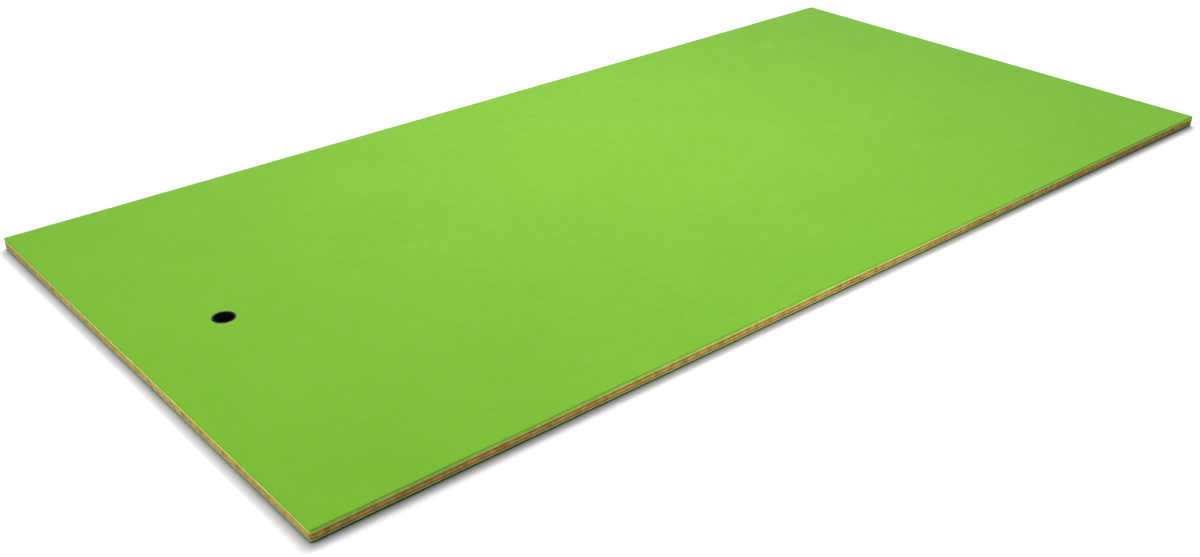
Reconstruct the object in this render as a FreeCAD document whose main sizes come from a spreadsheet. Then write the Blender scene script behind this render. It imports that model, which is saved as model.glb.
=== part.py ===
import FreeCAD, Part
import os
import Sketcher

# A large mat of soft closed-cell foam, made to float: three sheets of equal thickness, welded to
# each other over their whole faces, with one round hole near an end for a tether. The hole is lined
# by a plastic grommet in two halves, which are pushed in from the two faces and snap together.
#
# Frame: millimetres, +X along the mat, +Y across it, +Z up. The origin is at the middle of the
# underside, the face that the mat rests on. The hole is near the -X end.

# Driving dimensions: alias, millimetres, meaning.
DRIVING_DIMENSIONS = [
    ("mat_length", 3658.0, "overall length, 12 ft"),
    ("mat_width", 1829.0, "overall width, 6 ft"),
    ("sheet_thickness", 12.0, "thickness of each of the three foam sheets"),
    ("corner_radius", 5.0, "rounding of the mat's four corners, seen from above"),
    ("upper_edge_radius", 3.0, "rounding of the upper sheet's outer edge"),
    ("lower_edge_radius", 6.0, "rounding of the lower sheet's outer edge"),
    ("hole_inset", 283.0, "from the -X end of the mat to the hole's axis"),
    ("hole_offset", 35.0, "from the mat's centre line to the hole's axis, towards +Y"),
    ("punched_diameter", 60.0, "hole punched through the foam, filled by the grommet's barrel"),
    ("flange_diameter", 66.0, "outside of the grommet's flanges"),
    ("flange_thickness", 2.0, "depth of the flanges, which lie flush with the foam"),
    ("spigot_diameter", 57.5, "joint between the grommet's two halves"),
    ("spigot_length", 10.0, "overlap of the grommet's two halves"),
    ("bore_diameter", 55.0, "clear way through the grommet"),
    ("bead_height", 0.4, "height of the snap bead around the spigot"),
    ("bead_width", 2.0, "length of the snap bead along the axis"),
    ("mouth_radius", 1.5, "rounding where the bore meets the two faces"),
    ("rim_radius", 1.0, "rounding of the flanges' outer rims"),
]

SHEET_COUNT = 3
OUTPUT_FOLDER = "parts"
TOLERANCE = 1e-3
UP = FreeCAD.Vector(0, 0, 1)

# Places worked out from the driving dimensions, as FreeCAD expressions.
HOLE_X = "Dimensions.hole_inset - Dimensions.mat_length / 2"
HOLE_Y = "Dimensions.hole_offset"
TOP = f"{SHEET_COUNT} * Dimensions.sheet_thickness"
SPLIT = f"{SHEET_COUNT} * Dimensions.sheet_thickness / 2"

doc = FreeCAD.newDocument("layered_foam_mat")


# Spreadsheet, bodies and sketches

def make_dimensions():
    """Put the driving dimensions in a spreadsheet, one alias a row."""
    sheet = doc.addObject("Spreadsheet::Sheet", "Dimensions")
    for row, (alias, millimetres, meaning) in enumerate(DRIVING_DIMENSIONS, start=1):
        sheet.set(f"A{row}", alias)
        sheet.set(f"B{row}", str(millimetres))
        sheet.set(f"C{row}", meaning)
        sheet.setAlias(f"B{row}", alias)
    doc.recompute()


def make_body(label, x="0", y="0", z="0"):
    """A body whose place is bound to the spreadsheet."""
    body = doc.addObject("PartDesign::Body", label)
    body.Label = label
    for axis, expression in zip("xyz", (x, y, z)):
        body.setExpression(f"Placement.Base.{axis}", expression)
    return body


def make_sketch(body, name, plane_role, height="0"):
    """A sketch on one of the body's own origin planes, raised along the plane's normal."""
    plane = next(item for item in body.Origin.OriginFeatures if item.Role == plane_role)
    sketch = body.newObject("Sketcher::SketchObject", name)
    sketch.AttachmentSupport = (plane, [""])
    sketch.MapMode = "FlatFace"
    sketch.setExpression("AttachmentOffset.Base.z", height)
    return sketch


def bind(sketch, name, kind, places, expression):
    """Add a sketch dimension between places and bind its value to an expression."""
    value = sketch.evalExpression(expression)
    index = sketch.addConstraint(Sketcher.Constraint(kind, *places, value))
    sketch.renameConstraint(index, name)
    sketch.setExpression(f"Constraints.{name}", expression)


def draw_outline(sketch, points):
    """Draw a closed outline of straight lines. Each point is a pair of expressions."""
    corners = [
        FreeCAD.Vector(sketch.evalExpression(across), sketch.evalExpression(along), 0)
        for across, along in points
    ]
    for start, end in zip(corners, corners[1:] + corners[:1]):
        sketch.addGeometry(Part.LineSegment(start, end))
    for line in range(len(points)):
        following = (line + 1) % len(points)
        sketch.addConstraint(Sketcher.Constraint("Coincident", line, 2, following, 1))
    for line, (across, along) in enumerate(points):
        bind(sketch, f"across{line}", "DistanceX", (-1, 1, line, 1), across)
        bind(sketch, f"along{line}", "DistanceY", (-1, 1, line, 1), along)


def draw_circle(sketch, x, y, diameter):
    """Draw a circle. x, y and diameter are expressions."""
    centre = FreeCAD.Vector(sketch.evalExpression(x), sketch.evalExpression(y), 0)
    sketch.addGeometry(Part.Circle(centre, UP, sketch.evalExpression(diameter) / 2))
    bind(sketch, "x", "DistanceX", (-1, 1, 0, 3), x)
    bind(sketch, "y", "DistanceY", (-1, 1, 0, 3), y)
    bind(sketch, "diameter", "Diameter", (0,), diameter)


# Features

def pad_sheet(body):
    """The sheet of foam before it is cut: a rectangle centred on the body's origin."""
    low_x, high_x = "-Dimensions.mat_length / 2", "Dimensions.mat_length / 2"
    low_y, high_y = "-Dimensions.mat_width / 2", "Dimensions.mat_width / 2"
    sketch = make_sketch(body, "outline", "XY_Plane")
    draw_outline(sketch, [(low_x, low_y), (high_x, low_y), (high_x, high_y), (low_x, high_y)])
    pad = body.newObject("PartDesign::Pad", "sheet")
    pad.Profile = sketch
    pad.setExpression("Length", "Dimensions.sheet_thickness")
    doc.recompute()


def cut_hole(body, name, diameter, depth, height="0", downwards=False):
    """Cut a round pocket on the hole's axis, and compare what it removes with what it should."""
    before = body.Tip.Shape.copy()
    sketch = make_sketch(body, f"{name}_outline", "XY_Plane", height)
    draw_circle(sketch, HOLE_X, HOLE_Y, diameter)
    pocket = body.newObject("PartDesign::Pocket", name)
    pocket.Profile = sketch
    pocket.Type = "Length"
    pocket.Reversed = not downwards
    pocket.setExpression("Length", depth)
    doc.recompute()
    tool_radius = body.evalExpression(diameter) / 2
    tool_depth = body.evalExpression(depth)
    tool_place = FreeCAD.Vector(body.evalExpression(HOLE_X), body.evalExpression(HOLE_Y), 0)
    tool_place.z = body.evalExpression(height) - (tool_depth if downwards else 0)
    tool = Part.makeCylinder(tool_radius, tool_depth, tool_place)
    expected = tool.common(before).Volume
    removed = before.Volume - body.Tip.Shape.Volume
    if expected < TOLERANCE or abs(removed - expected) > TOLERANCE * expected:
        raise RuntimeError(f"{body.Label}: {name} removed {removed:.1f}, not {expected:.1f} mm3")


def revolve_profile(body, points):
    """Turn a closed outline, of radius and height pairs, once around the body's Z axis."""
    sketch = make_sketch(body, "profile", "XZ_Plane")
    draw_outline(sketch, points)
    revolution = body.newObject("PartDesign::Revolution", "turned")
    revolution.Profile = sketch
    revolution.ReferenceAxis = (sketch, ["V_Axis"])
    revolution.Angle = 360
    doc.recompute()


def round_edges(body, name, radius, wanted):
    """Fillet the edges of the body's last feature that a test picks."""
    base = body.Tip
    names = [f"Edge{n}" for n, edge in enumerate(base.Shape.Edges, start=1) if wanted(edge)]
    fillet = body.newObject("PartDesign::Fillet", name)
    fillet.Base = (base, names)
    fillet.setExpression("Radius", radius)
    doc.recompute()


def is_upright(edge):
    """True for a straight edge that stands along Z."""
    return isinstance(edge.Curve, Part.Line) and abs(edge.Curve.Direction.dot(UP)) > 1 - TOLERANCE


def is_level(edge, height):
    """True for an edge that lies level at a height."""
    box = edge.BoundBox
    return max(abs(box.ZMin - height), abs(box.ZMax - height)) < TOLERANCE


def is_full_circle(edge):
    """True for a whole circle, such as the edge of a hole."""
    return isinstance(edge.Curve, Part.Circle) and edge.isClosed()


# Sub-parts

def make_foam_sheet(label, order):
    """One foam sheet, the order-th from below, with rounded corners and the punched hole."""
    body = make_body(label, z=f"{order} * Dimensions.sheet_thickness")
    pad_sheet(body)
    round_edges(body, "corners", "Dimensions.corner_radius", is_upright)
    cut_hole(body, "punched_hole", "Dimensions.punched_diameter", "Dimensions.sheet_thickness")
    return body


def make_top_foam_sheet():
    """The upper sheet, whose outer edge is rounded over and which the upper flange presses in."""
    body = make_foam_sheet("top_foam_sheet", 2)
    face = body.evalExpression("Dimensions.sheet_thickness")
    round_edges(
        body,
        "outer_edge",
        "Dimensions.upper_edge_radius",
        lambda edge: is_level(edge, face) and not is_full_circle(edge),
    )
    cut_hole(
        body,
        "flange_seat",
        "Dimensions.flange_diameter",
        "Dimensions.flange_thickness",
        height="Dimensions.sheet_thickness",
        downwards=True,
    )
    return body


def make_core_foam_sheet():
    """The middle sheet."""
    return make_foam_sheet("core_foam_sheet", 1)


def make_bottom_foam_sheet():
    """The lower sheet, whose outer edge is rounded under and which the lower flange presses in."""
    body = make_foam_sheet("bottom_foam_sheet", 0)
    round_edges(
        body,
        "outer_edge",
        "Dimensions.lower_edge_radius",
        lambda edge: is_level(edge, 0) and not is_full_circle(edge),
    )
    cut_hole(body, "flange_seat", "Dimensions.flange_diameter", "Dimensions.flange_thickness")
    return body


def round_grommet(body, face):
    """Round the bore's mouth and the flange's rim on the side of the grommet that shows."""
    bore_radius = body.evalExpression("Dimensions.bore_diameter") / 2
    flange_radius = body.evalExpression("Dimensions.flange_diameter") / 2
    for name, setting, radius in (
        ("mouth", "Dimensions.mouth_radius", bore_radius),
        ("rim", "Dimensions.rim_radius", flange_radius),
    ):
        round_edges(
            body,
            name,
            setting,
            lambda edge: is_level(edge, face) and abs(edge.Curve.Radius - radius) < TOLERANCE,
        )


def joint_points():
    """The surface where the two halves meet, from the split up to the spigot's end."""
    spigot_radius = "Dimensions.spigot_diameter / 2"
    bead_radius = f"{spigot_radius} + Dimensions.bead_height"
    bead_height = f"{SPLIT} + Dimensions.spigot_length / 2"
    return [
        ("Dimensions.punched_diameter / 2", SPLIT),
        (spigot_radius, SPLIT),
        (spigot_radius, f"{bead_height} - Dimensions.bead_width / 2"),
        (bead_radius, bead_height),
        (spigot_radius, f"{bead_height} + Dimensions.bead_width / 2"),
        (spigot_radius, f"{SPLIT} + Dimensions.spigot_length"),
        ("Dimensions.bore_diameter / 2", f"{SPLIT} + Dimensions.spigot_length"),
    ]


def make_grommet_half(label, face, shoulder):
    """One half of the grommet: a flange flush with a face of the mat, and a barrel to the joint."""
    flange_radius = "Dimensions.flange_diameter / 2"
    body = make_body(label, x=HOLE_X, y=HOLE_Y)
    points = [
        ("Dimensions.bore_diameter / 2", face),
        (flange_radius, face),
        (flange_radius, shoulder),
        ("Dimensions.punched_diameter / 2", shoulder),
    ]
    revolve_profile(body, points + joint_points())
    round_grommet(body, body.evalExpression(face))
    return body


def make_grommet_socket():
    """The upper half, with a socket and a groove inside for the lower half's spigot and bead."""
    return make_grommet_half("grommet_socket", TOP, f"{TOP} - Dimensions.flange_thickness")


def make_grommet_spigot():
    """The lower half, with a spigot and a snap bead around it."""
    return make_grommet_half("grommet_spigot", "0", "Dimensions.flange_thickness")


# Checks and files

def check_document(bodies):
    """Stop if any object failed or a sub-part isn't one valid solid."""
    for item in doc.Objects:
        if {"Invalid", "Error"} & set(item.State):
            raise RuntimeError(f"{item.Label} failed: {item.State}")
    for body in bodies:
        if body.Shape.isNull() or not body.Shape.isValid() or len(body.Shape.Solids) != 1:
            raise RuntimeError(f"{body.Label} isn't one valid solid")


def check_fit(bodies):
    """Stop if two sub-parts run into each other."""
    for number, body in enumerate(bodies):
        for other in bodies[number + 1:]:
            overlap = body.Shape.common(other.Shape).Volume
            if overlap > TOLERANCE:
                raise RuntimeError(f"{body.Label} and {other.Label} overlap by {overlap:.3f} mm3")


def write_files(bodies):
    """Write each sub-part to a file of its own name."""
    os.makedirs(OUTPUT_FOLDER, exist_ok=True)
    for body in bodies:
        body.Shape.exportStep(os.path.join(OUTPUT_FOLDER, f"{body.Label}.step"))
        print(f"{body.Label}: {body.Shape.Volume / 1000:.1f} cm3")


make_dimensions()
subparts = [
    make_top_foam_sheet(),
    make_core_foam_sheet(),
    make_bottom_foam_sheet(),
    make_grommet_socket(),
    make_grommet_spigot(),
]
doc.recompute()
check_document(subparts)
check_fit(subparts)
write_files(subparts)
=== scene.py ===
import math

import bpy
import numpy as np
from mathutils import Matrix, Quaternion, Vector


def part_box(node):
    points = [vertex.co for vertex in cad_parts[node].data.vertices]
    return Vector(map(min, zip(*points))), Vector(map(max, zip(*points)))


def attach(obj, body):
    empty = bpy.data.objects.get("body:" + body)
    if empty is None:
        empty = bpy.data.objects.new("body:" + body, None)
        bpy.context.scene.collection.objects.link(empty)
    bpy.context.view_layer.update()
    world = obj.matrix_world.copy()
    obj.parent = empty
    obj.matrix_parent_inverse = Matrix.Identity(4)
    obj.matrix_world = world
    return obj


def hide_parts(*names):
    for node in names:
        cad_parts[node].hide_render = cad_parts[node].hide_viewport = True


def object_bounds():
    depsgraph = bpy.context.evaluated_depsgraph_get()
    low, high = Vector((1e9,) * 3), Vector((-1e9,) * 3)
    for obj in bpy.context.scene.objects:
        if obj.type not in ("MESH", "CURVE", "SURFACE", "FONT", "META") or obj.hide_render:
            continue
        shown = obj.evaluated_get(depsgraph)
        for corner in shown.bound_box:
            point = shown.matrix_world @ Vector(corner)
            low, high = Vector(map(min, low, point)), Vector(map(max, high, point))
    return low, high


# The look of a laminated foam mat: three sheets of closed-cell foam with moulded skins, welded face
# to face and trimmed together, and a black plastic grommet. Metres, in the frame of the CAD model.

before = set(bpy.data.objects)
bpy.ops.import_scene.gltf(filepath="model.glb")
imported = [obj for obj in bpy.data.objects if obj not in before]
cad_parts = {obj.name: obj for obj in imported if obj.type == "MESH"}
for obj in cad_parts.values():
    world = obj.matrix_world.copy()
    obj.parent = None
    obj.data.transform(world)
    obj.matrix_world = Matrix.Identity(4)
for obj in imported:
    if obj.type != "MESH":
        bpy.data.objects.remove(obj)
cad_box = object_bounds()

BODY = "root"

# The faces of a sheet are grids of even steps, with closer lines along the rim.
FACE_STEP = 0.020
MARGIN_STEPS = (0.0, 0.002, 0.005, 0.010, 0.018, 0.030)

# The side of a sheet is a stack of loops, offset from a plain rectangle that lies RIM inside the edge.
RIM = 0.0062
SHRINK = 0.0002
CORNER_STEPS = 8
ROUND_STEPS = 6
SIDE_STEPS = 5
SIDE_BULGE = 0.00045
UPPER_ROUND = 0.003
LOWER_ROUND = 0.0062
WELD_ROUND = 0.0013
SHARP_ANGLE = math.radians(50)

# Materials of a sheet, by their place in its list, and how many bands of the side the first and the
# last of them cover, counted from the upper and from the lower face. The last is painted contact
# shade.
SKIN, CUT, CONTACT_SHADE = range(3)
SKIN_BANDS = 6
CONTACT_SHADE_BANDS = 7

# The hole: a square patch of each face is meshed in rings that turn from square to round.
PATCH_HALF = 0.080
PATCH_STEPS = 16
RING_SHARES = (0.0, 0.012, 0.03, 0.055, 0.09, 0.14, 0.22, 0.34, 0.5, 0.72, 1.0)
SEAT_DEPTH = 0.002
PUNCHED_RADIUS = 0.030
HOLE_GAP = 0.0001
DIMPLE_DEPTH = 0.0011
DIMPLE_REACH = 0.007

grommet_low, grommet_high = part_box("grommet_socket")
HOLE_CENTRE = (grommet_low + grommet_high) / 2
FLANGE_RADIUS = (grommet_high.x - grommet_low.x) / 2


# Unevenness

def ripple(x, y, wavelength, seed, waves=7):
    """Smooth unevenness between about -1 and 1, as a sum of plane waves of about one wavelength."""
    draw = np.random.RandomState(seed)
    total = np.zeros_like(x)
    for _ in range(waves):
        heading = draw.uniform(0, 2 * math.pi)
        length = wavelength * draw.uniform(0.7, 1.5)
        phase = draw.uniform(0, 2 * math.pi)
        along = x * math.cos(heading) + y * math.sin(heading)
        total += np.sin(2 * math.pi * along / length + phase)
    return total / math.sqrt(waves)


def trim_error(x, y, layer):
    """How far the trimmed edge stands out from the straight line: one knife cut every layer."""
    slow = 0.00035 * ripple(x, y, wavelength=0.70, seed=11)
    quick = 0.00015 * ripple(x, y, wavelength=0.22, seed=12)
    own = 0.00012 * ripple(x, y, wavelength=0.11, seed=20 + layer)
    return slow + quick + own


def lie_of_face(x, y):
    """How far the upper skin is from flat, as thick foam sheet is never quite even."""
    slow = 0.00025 * ripple(x, y, wavelength=0.55, seed=31)
    quick = 0.00010 * ripple(x, y, wavelength=0.16, seed=32)
    return slow + quick


# One sheet of foam

def spread(start, end, step):
    """Evenly spaced values from start up to, and without, end."""
    count = max(1, round((end - start) / step))
    return [start + (end - start) * k / count for k in range(count)]


def grid_lines(low, high, centre):
    """Places of the grid lines of a face: close at its two rims and across the hole's patch."""
    first = [low + step for step in MARGIN_STEPS[:-1]]
    last = [high - step for step in reversed(MARGIN_STEPS)]
    patch_step = 2 * PATCH_HALF / PATCH_STEPS
    return (
        first
        + spread(low + MARGIN_STEPS[-1], centre - PATCH_HALF, FACE_STEP)
        + spread(centre - PATCH_HALF, centre + PATCH_HALF, patch_step)
        + spread(centre + PATCH_HALF, last[0], FACE_STEP)
        + last
    )


def nearest_line(lines, value):
    """Number of the line that is nearest to a value."""
    return min(range(len(lines)), key=lambda k: abs(lines[k] - value))


class SheetMesh:
    """Collects the points and faces of one closed sheet of foam with a hole through it."""

    def __init__(self, low, high, layer):
        self.layer = layer
        self.lines_x = grid_lines(low.x + RIM, high.x - RIM, HOLE_CENTRE.x)
        self.lines_y = grid_lines(low.y + RIM, high.y - RIM, HOLE_CENTRE.y)
        self.stations = self.rim_stations()
        self.points = []
        self.faces = []
        self.surfaces = []

    def rim_stations(self):
        """Around the outline, anticlockwise: a grid corner and the outward direction from it."""
        last_x, last_y = len(self.lines_x) - 1, len(self.lines_y) - 1
        sides = (
            ([(i, 0) for i in range(last_x + 1)], -90),
            ([(last_x, j) for j in range(last_y + 1)], 0),
            ([(i, last_y) for i in range(last_x, -1, -1)], 90),
            ([(0, j) for j in range(last_y, -1, -1)], 180),
        )
        stations = []
        for cells, heading in sides:
            stations += [(cell, heading) for cell in cells]
            turns = [heading + 90 * k / CORNER_STEPS for k in range(1, CORNER_STEPS)]
            stations += [(cells[-1], turn) for turn in turns]
        return stations

    def add_points(self, places):
        """Add points, and give their numbers."""
        start = len(self.points)
        self.points.extend(places)
        return list(range(start, len(self.points)))

    def add_face(self, corners, surface, turned):
        """Add a face, unless it has shrunk to nothing."""
        kept = [c for k, c in enumerate(corners) if c != corners[k - 1]]
        if len(kept) > 2:
            self.faces.append(kept[::-1] if turned else kept)
            self.surfaces.append(surface)

    def band(self, first, second, surface, turned):
        """Join two closed loops of points of the same length. second is outside, or below, first."""
        for k in range(len(first)):
            corners = [first[k - 1], second[k - 1], second[k], first[k]]
            self.add_face(corners, surface, turned)

    def patch_span(self, lines, centre):
        """Numbers of the first and the last grid line of the hole's patch."""
        return nearest_line(lines, centre - PATCH_HALF), nearest_line(lines, centre + PATCH_HALF)

    def patch_edge(self, span_x, span_y):
        """Grid corners around the hole's square patch, anticlockwise."""
        (x0, x1), (y0, y1) = span_x, span_y
        return (
            [(i, y0) for i in range(x0, x1)]
            + [(x1, j) for j in range(y0, y1)]
            + [(i, y1) for i in range(x1, x0, -1)]
            + [(x0, j) for j in range(y1, y0, -1)]
        )

    def hole_rings(self, outer, height, hole_radius, dimple):
        """Loops of points from the hole's edge out to the edge of its patch."""
        places = [self.points[n] for n in outer]
        rings = []
        for share in RING_SHARES[:-1]:
            ring = []
            for x, y, _ in places:
                away = Vector((x - HOLE_CENTRE.x, y - HOLE_CENTRE.y))
                reach = hole_radius * (1 - share) + away.length * share
                spot = away.normalized() * reach
                sunk = dimple * max(0.0, 1 - (reach - hole_radius) / DIMPLE_REACH) ** 2
                ring.append((HOLE_CENTRE.x + spot.x, HOLE_CENTRE.y + spot.y, height - sunk))
            rings.append(self.add_points(ring))
        return rings + [outer]

    def face(self, height, hole_radius, turned, dimple):
        """A level face with its hole. Gives its rim's and its hole's points, anticlockwise."""
        span_x = self.patch_span(self.lines_x, HOLE_CENTRE.x)
        span_y = self.patch_span(self.lines_y, HOLE_CENTRE.y)
        number = {}
        for i, x in enumerate(self.lines_x):
            for j, y in enumerate(self.lines_y):
                if not (span_x[0] < i < span_x[1] and span_y[0] < j < span_y[1]):
                    number[i, j] = self.add_points([(x, y, height)])[0]
        for i in range(len(self.lines_x) - 1):
            for j in range(len(self.lines_y) - 1):
                if span_x[0] <= i < span_x[1] and span_y[0] <= j < span_y[1]:
                    continue
                corners = [(i, j), (i + 1, j), (i + 1, j + 1), (i, j + 1)]
                self.add_face([number[c] for c in corners], SKIN, turned)
        outer = [number[c] for c in self.patch_edge(span_x, span_y)]
        rings = self.hole_rings(outer, height, hole_radius, dimple)
        for inner, beyond in zip(rings, rings[1:]):
            self.band(inner, beyond, SKIN, turned)
        rim = [number[cell] for cell, _ in self.stations]
        return rim, rings[0]

    def rim_loop(self, out, height):
        """A loop of points around the sheet, out from the rectangle, at a height."""
        base = np.array([(self.lines_x[i], self.lines_y[j]) for (i, j), _ in self.stations])
        turn = np.radians([heading for _, heading in self.stations])
        wobble = trim_error(base[:, 0], base[:, 1], self.layer) * out / RIM
        reach = out - SHRINK * out / RIM + wobble
        x = base[:, 0] + np.cos(turn) * reach
        y = base[:, 1] + np.sin(turn) * reach
        return self.add_points([(a, b, height) for a, b in zip(x.tolist(), y.tolist())])

    def hole_loop(self, radius, height, like):
        """A round loop of points in the hole, at the angles of another."""
        loop = []
        for n in like:
            away = Vector(self.points[n][:2]) - HOLE_CENTRE.xy
            spot = HOLE_CENTRE.xy + away.normalized() * radius
            loop.append((spot.x, spot.y, height))
        return self.add_points(loop)


def rounded(radius, height, upwards):
    """(out, height) of the points round an edge, from the face to the side."""
    places = []
    for k in range(ROUND_STEPS + 1):
        turn = math.pi / 2 * k / ROUND_STEPS
        out = RIM - radius + radius * math.sin(turn)
        drop = radius * (1 - math.cos(turn))
        places.append((out, height + (drop if upwards else -drop)))
    return places


def sheet_profile(low, high, upper, lower):
    """(out, height) down the side of a sheet, from its upper face to its lower one."""
    down = rounded(upper, high, upwards=False)
    up = rounded(lower, low, upwards=True)
    top, bottom = down[-1][1], up[-1][1]
    side = [(RIM, top + (bottom - top) * k / SIDE_STEPS) for k in range(1, SIDE_STEPS)]
    middle, half = (high + low) / 2, (high - low) / 2
    bulged = []
    for out, height in down + side + up[::-1]:
        swell = SIDE_BULGE * (1 - ((height - middle) / half) ** 2) * out / RIM
        bulged.append((out + swell - SIDE_BULGE, height))
    return bulged


def side_surface(order, count, has_upper, has_lower):
    """The material of one band of the side. Only the mat's two outer faces have their own edges: the
    upper skin wraps over its rounding, and the lower edge is painted contact shade.
    """
    if has_upper and order < SKIN_BANDS:
        return SKIN
    # The lowest bands carry painted contact shade, a near-black green where the mat meets the floor.
    if has_lower and order >= count - CONTACT_SHADE_BANDS:
        return CONTACT_SHADE
    return CUT


def make_sheet(name, node, layer, upper, lower, seats):
    """Build one sheet. seats tells which faces are pressed in by a flange: upper, lower or none."""
    low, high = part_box(node)
    mesh = SheetMesh(low, high, layer)
    seat_radius = FLANGE_RADIUS + HOLE_GAP
    wall_radius = PUNCHED_RADIUS + HOLE_GAP
    has_upper, has_lower = "upper" in seats, "lower" in seats

    rim_a, hole_a = mesh.face(
        high.z,
        seat_radius if has_upper else wall_radius,
        turned=False,
        dimple=DIMPLE_DEPTH if has_upper else 0,
    )
    previous = rim_a
    profile = sheet_profile(low.z, high.z, upper, lower)
    for order, (out, height) in enumerate(profile):
        loop = mesh.rim_loop(out, height)
        surface = side_surface(order, len(profile), has_upper, has_lower)
        mesh.band(previous, loop, surface, turned=False)
        previous = loop
    rim_b, hole_b = mesh.face(
        low.z,
        seat_radius if has_lower else wall_radius,
        turned=True,
        dimple=-DIMPLE_DEPTH if has_lower else 0,
    )
    mesh.band(previous, rim_b, CUT, turned=False)

    upper_seat = high.z - SEAT_DEPTH - HOLE_GAP
    lower_seat = low.z + SEAT_DEPTH + HOLE_GAP
    walls = [hole_a]
    if has_upper:
        walls.append(mesh.hole_loop(seat_radius, upper_seat, hole_a))
        walls.append(mesh.hole_loop(wall_radius, upper_seat, hole_a))
    if has_lower:
        walls.append(mesh.hole_loop(wall_radius, lower_seat, hole_a))
        walls.append(mesh.hole_loop(seat_radius, lower_seat, hole_a))
    walls.append(hole_b)
    for upper_wall, lower_wall in zip(walls, walls[1:]):
        mesh.band(upper_wall, lower_wall, CUT, turned=True)
    return finish_sheet(name, node, mesh, high.z if has_upper else None)


def finish_sheet(name, node, mesh, skin_height):
    """Turn the collected points and faces into a shown piece."""
    points = np.array(mesh.points)
    if skin_height is not None:
        on_skin = points[:, 2] > skin_height - UPPER_ROUND / 2
        points[on_skin, 2] += lie_of_face(points[on_skin, 0], points[on_skin, 1])
    data = bpy.data.meshes.new(name)
    data.from_pydata(points.tolist(), [], mesh.faces)
    data.validate()
    data.polygons.foreach_set("material_index", mesh.surfaces)
    data.shade_smooth()
    data.set_sharp_from_angle(angle=SHARP_ANGLE)
    piece = bpy.data.objects.new(name, data)
    bpy.context.scene.collection.objects.link(piece)
    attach(piece, BODY)
    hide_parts(node)
    return piece


# Materials

class Shader:
    """A material's node tree, with short calls for the nodes that the materials share."""

    def __init__(self, name):
        self.material = bpy.data.materials.new(name)
        self.material.use_nodes = True
        self.tree = self.material.node_tree
        self.surface = self.tree.nodes["Principled BSDF"]
        self.coordinates = self.tree.nodes.new("ShaderNodeTexCoord").outputs["Object"]

    def link(self, source, socket):
        self.tree.links.new(source, socket)

    def scaled(self, scale):
        """The object's coordinates, stretched along each axis."""
        mapping = self.tree.nodes.new("ShaderNodeMapping")
        mapping.inputs["Scale"].default_value = scale
        self.link(self.coordinates, mapping.inputs["Vector"])
        return mapping.outputs["Vector"]

    def noise(self, scale, detail, vector=None):
        node = self.tree.nodes.new("ShaderNodeTexNoise")
        node.inputs["Scale"].default_value = scale
        node.inputs["Detail"].default_value = detail
        self.link(vector or self.coordinates, node.inputs["Vector"])
        return node.outputs["Fac"]

    def cells(self, scale, feature="F1", vector=None):
        node = self.tree.nodes.new("ShaderNodeTexVoronoi")
        node.feature = feature
        node.inputs["Scale"].default_value = scale
        self.link(vector or self.coordinates, node.inputs["Vector"])
        return node.outputs["Distance"]

    def remap(self, value, start, end, low, high):
        """Stretch a value's range from start and end to low and high, and clamp it."""
        node = self.tree.nodes.new("ShaderNodeMapRange")
        node.inputs["From Min"].default_value = start
        node.inputs["From Max"].default_value = end
        node.inputs["To Min"].default_value = low
        node.inputs["To Max"].default_value = high
        self.link(value, node.inputs["Value"])
        return node.outputs["Result"]

    def distance_from(self, value, place):
        """How far a value is from a place, whichever side it is on."""
        away = self.tree.nodes.new("ShaderNodeMath")
        away.operation = "SUBTRACT"
        away.inputs[1].default_value = place
        self.link(value, away.inputs[0])
        size = self.tree.nodes.new("ShaderNodeMath")
        size.operation = "ABSOLUTE"
        self.link(away.outputs["Value"], size.inputs[0])
        return size.outputs["Value"]

    def near_welds(self):
        """1 at the two welds, which are the core sheet's faces, and 0 away from them. It places the
        darker bond line and the painted shade in its grooves.
        """
        core_low, core_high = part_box("core_foam_sheet")
        split = self.tree.nodes.new("ShaderNodeSeparateXYZ")
        self.link(self.coordinates, split.inputs["Vector"])
        from_middle = self.distance_from(split.outputs["Z"], (core_high.z + core_low.z) / 2)
        from_weld = self.distance_from(from_middle, (core_high.z - core_low.z) / 2)
        return self.remap(from_weld, start=WELD_DARK, end=WELD_REACH, low=1.0, high=0.0)

    def add(self, first, second):
        node = self.tree.nodes.new("ShaderNodeMath")
        node.operation = "ADD"
        self.link(first, node.inputs[0])
        self.link(second, node.inputs[1])
        return node.outputs["Value"]

    def mix(self, share, first, second):
        """Mix two colours. Each is a colour or a socket."""
        node = self.tree.nodes.new("ShaderNodeMix")
        node.data_type = "RGBA"
        self.link(share, node.inputs["Factor"])
        for socket, colour in zip((node.inputs[6], node.inputs[7]), (first, second)):
            if isinstance(colour, tuple):
                socket.default_value = (*colour, 1.0)
            else:
                self.link(colour, socket)
        return node.outputs[2]

    def bump(self, height, distance, strength, below=None):
        """A surface normal, bent by a height. below is the normal of a coarser relief."""
        node = self.tree.nodes.new("ShaderNodeBump")
        node.inputs["Distance"].default_value = distance
        node.inputs["Strength"].default_value = strength
        self.link(height, node.inputs["Height"])
        if below is not None:
            self.link(below, node.inputs["Normal"])
        return node.outputs["Normal"]

    def set(self, **values):
        """Set the surface's sockets. Underscores stand for the spaces in their names."""
        for name, value in values.items():
            socket = self.surface.inputs[name.replace("_", " ")]
            if isinstance(value, bpy.types.NodeSocket):
                self.link(value, socket)
            else:
                socket.default_value = value


# How fine each part of a texture is, as its number of features in a metre.
CLOUDS = 3.0
FLECKS = 160.0
PEBBLES = 620.0
DENTS = 90.0
GLOSS_PATCHES = 25.0
SMALL_CELLS = 950.0
LARGE_CELLS = 420.0
BLOTCHES = 55.0
KNIFE_MARKS = (240.0, 240.0, 9.0)
PLASTIC_GRAIN = 1800.0
PLASTIC_CLOUDS = 120.0
FLOOR_CLOUDS = 0.8

# Foam cells are lower than they are wide, because the sheet was rolled.
ROLLED = (1.0, 1.0, 1.7)

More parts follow.
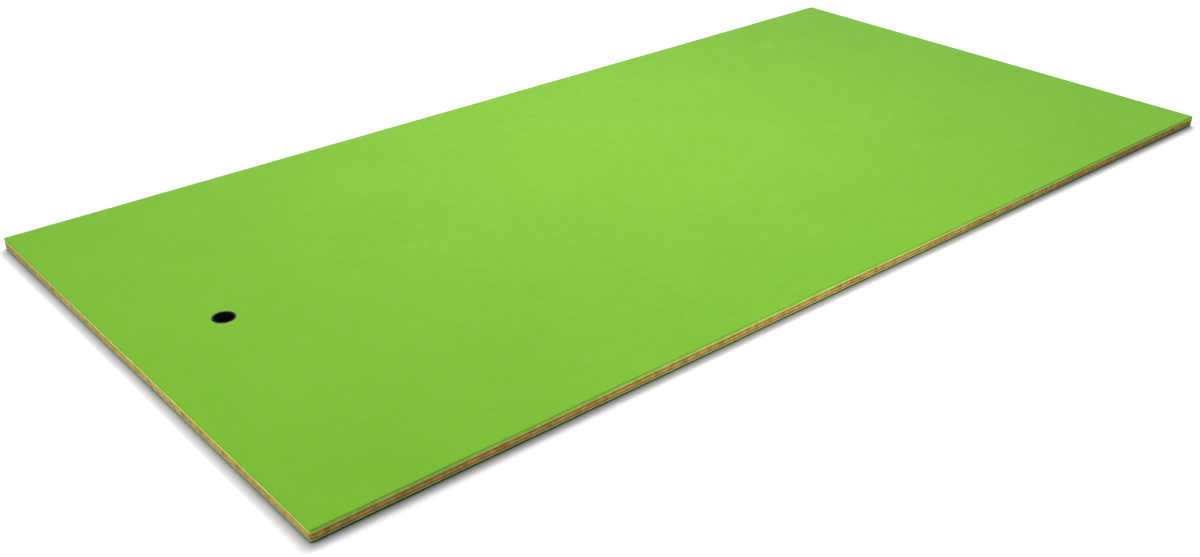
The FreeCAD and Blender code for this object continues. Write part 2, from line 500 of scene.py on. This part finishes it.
# The weld lines: the bond line's own darker colour, with painted shade in the grooves beside it. Full
# darkness up to the first distance, and none beyond the second.
WELD_DARK = 0.0005
WELD_REACH = 0.0016
WELD_SHADE = 0.45

# Linear colours. A cut foam has one more, the painted shade in the hollows of its cells.
GREEN_SKIN = (0.131, 0.362, 0.014), (0.145, 0.386, 0.019)
GREEN_CUT = (0.29, 0.43, 0.078), (0.39, 0.52, 0.125), (0.16, 0.26, 0.040)
ORANGE_CUT = (0.36, 0.150, 0.029), (0.58, 0.295, 0.075), (0.20, 0.065, 0.011)
# Painted contact shade: near-black green for the bottom sheet's lower edge, where the shadow meets the
# floor.
CONTACT_SHADE_EDGE = (0.009, 0.028, 0.003), (0.015, 0.043, 0.005)
# Painted shade in the hollows of the skin's pebbled grain.
SKIN_HOLLOW_SHADE = (0.05, 0.15, 0.01)
BLACK = (0.003, 0.003, 0.005), (0.006, 0.006, 0.008)
WHITE = (0.93, 0.93, 0.93), (0.95, 0.95, 0.95)


def foam_skin(name, deep, pale):
    """The moulded skin of a foam sheet: matt, with a fine pebbled grain, painted shade in the grain's
    hollows and a faint cloudiness.
    """
    s = Shader(name)
    cloud = s.remap(s.noise(CLOUDS, detail=3.0), start=0.3, end=0.7, low=0.0, high=0.6)
    fleck = s.remap(s.noise(FLECKS, detail=3.0), start=0.35, end=0.65, low=0.0, high=0.4)
    grain = s.cells(PEBBLES, feature="SMOOTH_F1")
    # Painted shade in the grain's hollows: the colour is mixed toward a dark green there.
    hollow_shade = s.remap(grain, start=0.0, end=0.7, low=0.10, high=0.0)
    colour = s.mix(s.add(cloud, fleck), deep, pale)
    colour = s.mix(hollow_shade, colour, SKIN_HOLLOW_SHADE)
    normal = s.bump(grain, distance=0.00012, strength=0.5)
    normal = s.bump(s.noise(DENTS, detail=2.0), distance=0.0003, strength=0.25, below=normal)
    gloss = s.noise(GLOSS_PATCHES, detail=3.0)
    s.set(
        Base_Color=colour,
        Roughness=s.remap(gloss, start=0.3, end=0.7, low=0.72, high=0.86),
        Specular_IOR_Level=0.08,
        Normal=normal,
    )
    return s.material


def foam_cut(name, deep, pale, pore_shade):
    """A cut face of the foam: open cells, flattened by the rolling, with painted shade in their
    hollows, and the knife's faint marks.
    """
    s = Shader(name)
    rolled = s.scaled(ROLLED)
    small = s.cells(SMALL_CELLS, vector=rolled)
    large = s.cells(LARGE_CELLS, vector=rolled)
    drag = s.noise(1.0, detail=3.0, vector=s.scaled(KNIFE_MARKS))
    blotch = s.remap(s.noise(BLOTCHES, detail=4.0), start=0.38, end=0.62, low=0.0, high=1.0)
    # Painted shade, darker in the cells' hollows.
    hollow_shade = s.remap(small, start=0.0, end=0.45, low=0.55, high=0.0)
    # The weld colour: the bond line's darker colour together with painted shade in its grooves.
    bond_line_and_shade = tuple(WELD_SHADE * part for part in pore_shade)
    colour = s.mix(blotch, deep, pale)
    colour = s.mix(hollow_shade, colour, pore_shade)
    colour = s.mix(s.near_welds(), colour, bond_line_and_shade)
    relief = s.add(small, s.remap(large, start=0.0, end=0.5, low=0.0, high=1.2))
    normal = s.bump(relief, distance=0.0003, strength=0.8)
    normal = s.bump(drag, distance=0.0005, strength=0.5, below=normal)
    s.set(Base_Color=colour, Roughness=0.92, Specular_IOR_Level=0.2, Normal=normal)
    return s.material


def moulded_plastic():
    """Black plastic with the fine spark-eroded grain of its mould."""
    s = Shader("black_moulded_plastic")
    grain = s.noise(PLASTIC_GRAIN, detail=3.0)
    s.set(
        Base_Color=s.mix(s.noise(PLASTIC_CLOUDS, detail=2.0), *BLACK),
        Roughness=s.remap(grain, start=0.3, end=0.7, low=0.6, high=0.75),
        Specular_IOR_Level=0.1,
        Normal=s.bump(grain, distance=0.00006, strength=0.6),
    )
    return s.material


def studio_floor():
    """A pale, even floor."""
    s = Shader("studio_floor")
    colour = s.mix(s.noise(FLOOR_CLOUDS, detail=2.0), *WHITE)
    s.set(Base_Color=colour, Roughness=0.95, Specular_IOR_Level=0.0)
    return s.material


# The object

def finish_with(piece, slot, *materials):
    """Add a piece's materials. slot is not used."""
    for material in materials:
        piece.data.materials.append(material)


green_skin = foam_skin("green_foam_skin", *GREEN_SKIN)
# Painted contact shade for the bottom sheet's lower edge, on the skin's grain.
contact_shade_edge = foam_skin("painted_contact_shade", *CONTACT_SHADE_EDGE)
green_cut = foam_cut("green_foam_cut", *GREEN_CUT)
orange_cut = foam_cut("orange_foam_cut", *ORANGE_CUT)

top_sheet = make_sheet(
    "top_sheet",
    "top_foam_sheet",
    layer=2,
    upper=UPPER_ROUND,
    lower=WELD_ROUND,
    seats=("upper",),
)
finish_with(top_sheet, "green_foam", green_skin, green_cut)

core_sheet = make_sheet(
    "core_sheet",
    "core_foam_sheet",
    layer=1,
    upper=WELD_ROUND,
    lower=WELD_ROUND,
    seats=(),
)
finish_with(core_sheet, "orange_foam", orange_cut, orange_cut)

bottom_sheet = make_sheet(
    "bottom_sheet",
    "bottom_foam_sheet",
    layer=0,
    upper=WELD_ROUND,
    lower=LOWER_ROUND,
    seats=("lower",),
)
# The bottom sheet's lower edge gets the painted contact shade.
finish_with(bottom_sheet, "green_foam", green_skin, green_cut, contact_shade_edge)

plastic = moulded_plastic()
for node in ("grommet_socket", "grommet_spigot"):
    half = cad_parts[node]
    half.data.materials.clear()
    finish_with(half, "black_plastic", plastic)


# The studio

FLOOR_HALF = 60.0
FLOOR_GAP = 0.0002

CAMERA_PLACE = Vector((-2.8112, -2.9775, 1.8068))
CAMERA_TARGET = Vector((-0.6545, -0.3957, 0.018))
CAMERA_ROLL = math.radians(-0.386)
CAMERA_LENS = 39.98
CAMERA_SENSOR = 36.0
CAMERA_SHIFT = 20 / 1200
CAMERA_CLIP = 0.05, 200.0


def make_floor():
    """A wide level floor, just under the mat."""
    data = bpy.data.meshes.new("floor")
    half = FLOOR_HALF
    corners = [(-half, -half, 0), (half, -half, 0), (half, half, 0), (-half, half, 0)]
    data.from_pydata(corners, [], [(0, 1, 2, 3)])
    floor = bpy.data.objects.new("floor", data)
    floor.location.z = cad_box[0].z - FLOOR_GAP
    bpy.context.scene.collection.objects.link(floor)
    data.materials.append(studio_floor())


def make_sky(level, lean, heading, colour):
    """A pale surround, brighter on one side. Its own picture behind the floor is plain white."""
    world = bpy.data.worlds.new("studio")
    world.use_nodes = True
    tree = world.node_tree
    across = tree.nodes.new("ShaderNodeVectorMath")
    across.operation = "DOT_PRODUCT"
    across.inputs[1].default_value = (math.cos(heading), math.sin(heading), 0)
    strength = tree.nodes.new("ShaderNodeMapRange")
    strength.inputs["From Min"].default_value = -1
    strength.inputs["To Min"].default_value = level * (1 - lean)
    strength.inputs["To Max"].default_value = level * (1 + lean)
    shown = tree.nodes.new("ShaderNodeMath")
    shown.operation = "MAXIMUM"
    background = tree.nodes["Background"]
    background.inputs["Color"].default_value = (*colour, 1.0)
    direction = tree.nodes.new("ShaderNodeTexCoord").outputs["Generated"]
    camera_ray = tree.nodes.new("ShaderNodeLightPath").outputs["Is Camera Ray"]
    tree.links.new(direction, across.inputs[0])
    tree.links.new(across.outputs["Value"], strength.inputs["Value"])
    tree.links.new(strength.outputs["Result"], shown.inputs[0])
    tree.links.new(camera_ray, shown.inputs[1])
    tree.links.new(shown.outputs["Value"], background.inputs["Strength"])
    bpy.context.scene.world = world


def make_wall_of_light(heading, elevation, width, power, colour):
    """A very large, far softbox, seen from the mat at a heading and an elevation."""
    data = bpy.data.lights.new("back_light", "SUN")
    data.angle = width
    data.energy = power
    data.color = colour
    lamp = bpy.data.objects.new("back_light", data)
    level = math.cos(elevation)
    away = Vector((math.cos(heading) * level, math.sin(heading) * level, math.sin(elevation)))
    lamp.rotation_euler = away.to_track_quat("Z", "Y").to_euler()
    bpy.context.scene.collection.objects.link(lamp)


def make_softbox(name, place, target, size, power, opening, colour=(1, 1, 1)):
    """A rectangular softbox that faces a target. opening is the angle that its light fills."""
    data = bpy.data.lights.new(name, "AREA")
    data.shape = "RECTANGLE"
    data.size, data.size_y = size
    data.energy = power
    data.color = colour
    data.spread = opening
    lamp = bpy.data.objects.new(name, data)
    lamp.location = place
    lamp.rotation_euler = (Vector(target) - Vector(place)).to_track_quat("-Z", "Y").to_euler()
    bpy.context.scene.collection.objects.link(lamp)


def make_camera():
    """The camera, without depth of field."""
    data = bpy.data.cameras.new("camera")
    data.lens = CAMERA_LENS
    data.sensor_width = CAMERA_SENSOR
    data.shift_x = CAMERA_SHIFT
    data.clip_start, data.clip_end = CAMERA_CLIP
    camera = bpy.data.objects.new("camera", data)
    camera.location = CAMERA_PLACE
    aim = (CAMERA_TARGET - CAMERA_PLACE).to_track_quat("-Z", "Y")
    camera.rotation_mode = "QUATERNION"
    camera.rotation_quaternion = aim @ Quaternion((0, 0, 1), CAMERA_ROLL)
    bpy.context.scene.collection.objects.link(camera)
    bpy.context.scene.camera = camera


make_floor()
make_sky(level=0.52, lean=0.90, heading=math.radians(50), colour=(0.95, 0.98, 1.06))
make_wall_of_light(
    heading=math.radians(48),
    elevation=math.radians(40),
    width=math.radians(60),
    power=2.90,
    colour=(1.0, 0.995, 1.04),
)
make_softbox(
    "key",
    place=(0.2, 0.6, 2.3),
    target=(-0.05, -0.3, 0.0),
    size=(1.3, 0.9),
    power=43.0,
    opening=math.radians(180),
    colour=(1.0, 0.73, 0.72),
)
make_softbox(
    "front_fill",
    place=(-0.15, -2.6, 0.30),
    target=(-0.15, -0.9, 0.018),
    size=(1.3, 0.34),
    power=4.0,
    opening=math.radians(80),
)
make_softbox(
    "left_fill",
    place=(-3.9, -0.1, 0.30),
    target=(-1.83, -0.1, 0.018),
    size=(1.6, 0.34),
    power=33.0,
    opening=math.radians(180),
)
make_camera()
bpy.context.scene.view_settings.view_transform = "Standard"
bpy.context.scene.view_settings.look = "None"
